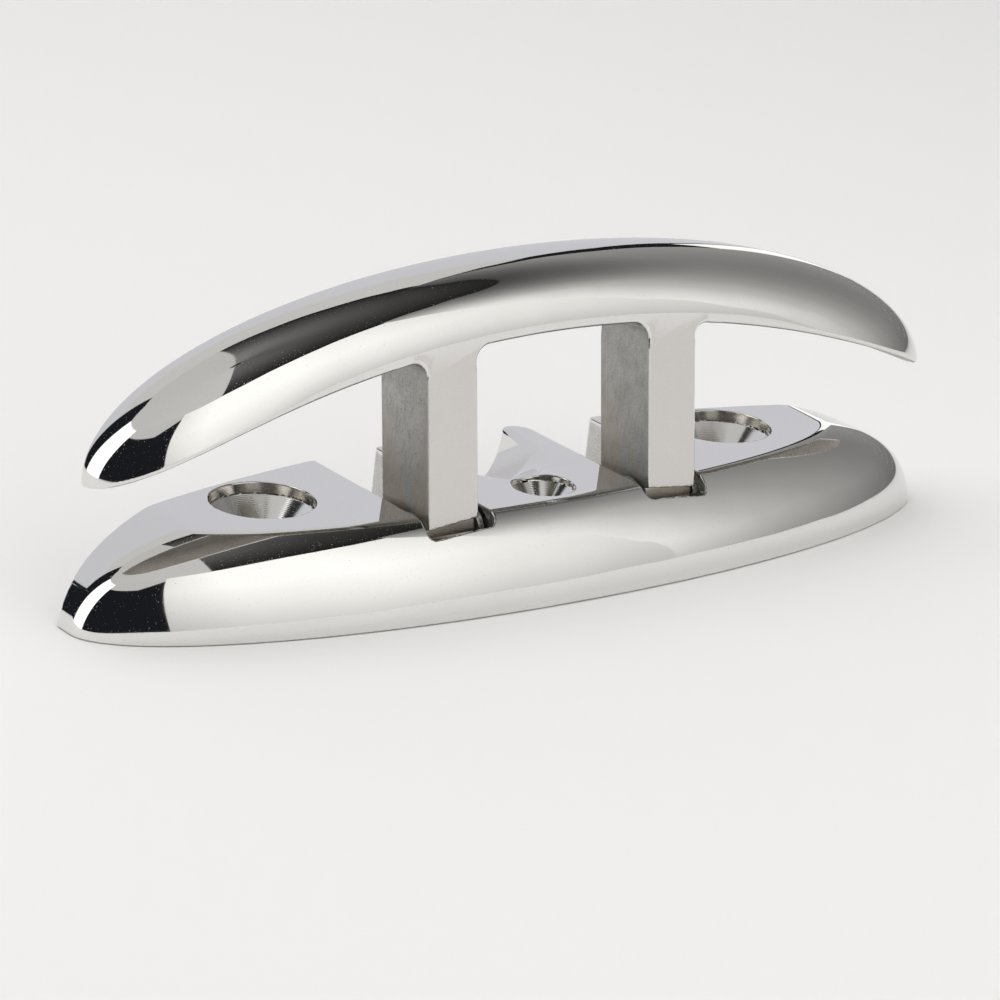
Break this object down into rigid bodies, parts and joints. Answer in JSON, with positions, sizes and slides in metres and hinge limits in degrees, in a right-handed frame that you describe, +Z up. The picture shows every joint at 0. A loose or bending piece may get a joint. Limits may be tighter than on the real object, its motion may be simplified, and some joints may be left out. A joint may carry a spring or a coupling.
{
  "type": "flip-up mooring cleat",
  "caption": "Flip-up mooring cleat in polished stainless steel: an arched horn on legs folds back flush behind a domed, countersunk base.",
  "frame": {"origin": "midway between the two large deck screws, on the flat face that meets the boat", "axes": "+X along the cleat, -Y towards the rounded rim, +Y towards the side the horn folds to, +Z up from the boat"},
  "size_m": [0.154, 0.0401, 0.0486],
  "materials": {
    "polished_steel": "mirror-polished cast 316 stainless steel, rough-cast on the legs' sides",
    "hinge_steel": "turned and ground stainless steel",
    "screw_steel": "dark, lightly oiled steel"
  },
  "bodies": {
    "base": {"base": "polished_steel", "hinge_pin_left": "hinge_steel", "hinge_pin_right": "hinge_steel", "thrust_washer_left": "hinge_steel", "thrust_washer_right": "hinge_steel", "spring_washers_left": "hinge_steel", "spring_washers_right": "hinge_steel", "lock_screw_left": "screw_steel", "lock_screw_right": "screw_steel"},
    "horn": {"horn": "polished_steel"}
  },
  "joints": [
    {"name": "horn_fold", "type": "hinge", "parent": "base", "child": "horn", "pos_m": [0, -0.0131, 0.0095], "axis": [-1, 0, 0], "range_deg": [0, 83]}
  ]
}
